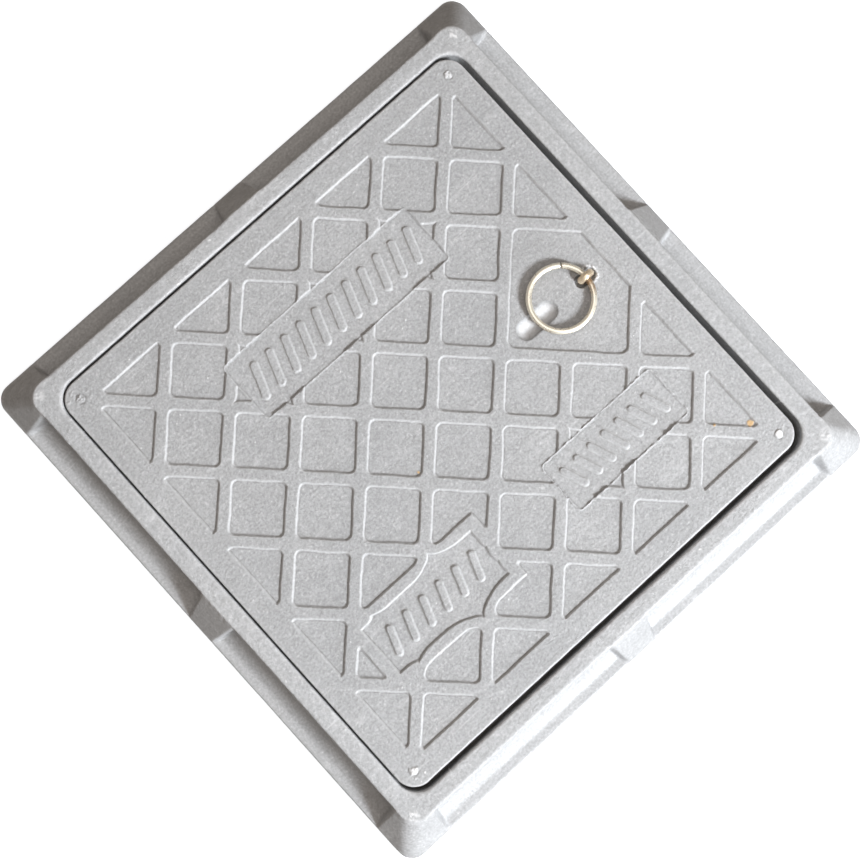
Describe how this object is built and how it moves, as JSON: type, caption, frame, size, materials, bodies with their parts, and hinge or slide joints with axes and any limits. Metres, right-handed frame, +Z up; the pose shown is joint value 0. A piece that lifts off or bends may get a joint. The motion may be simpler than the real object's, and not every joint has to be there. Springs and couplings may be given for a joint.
{
  "type": "square access cover with frame",
  "caption": "Square moulded access cover with a diamond tread and a sunk pull ring, lying in a low square frame with a coved, bossed outside.",
  "frame": {"origin": "centre of the frame's underside, where it beds on the chamber", "axes": "+Z up out of the ground, +X from the middle of the cover to the pull ring"},
  "size_m": [0.386, 0.386, 0.0412],
  "materials": {
    "frame_plastic": "grey glass-fibre moulding, chalky and lightly scuffed",
    "cover_plastic": "grey glass-fibre moulding with a fine gritty grain",
    "ring_wire": "yellow-plated steel wire, worn and dull",
    "pin_wire": "yellow-plated half-round wire, tarnished in the folds",
    "washer_steel": "zinc-plated steel"
  },
  "bodies": {
    "frame": {"frame": "frame_plastic"},
    "cover": {"cover": "cover_plastic", "pin_washer": "washer_steel"},
    "ring_pin": {"ring_pin": "pin_wire"},
    "pull_ring": {"pull_ring": "ring_wire"}
  },
  "joints": [
    {"name": "cover_lift", "type": "slide", "parent": "frame", "child": "cover", "axis": [0, 0, 1], "range_m": [0, 0.06]},
    {"name": "pin_swivel", "type": "hinge", "parent": "cover", "child": "ring_pin", "pos_m": [0.1257, 0.001, 0.025], "axis": [0, 0, 1], "range_deg": [-15, 15]},
    {"name": "ring_flip", "type": "hinge", "parent": "ring_pin", "child": "pull_ring", "pos_m": [0.1257, 0.001, 0.0362], "axis": [0, 1, 0], "range_deg": [0, 170]}
  ]
}
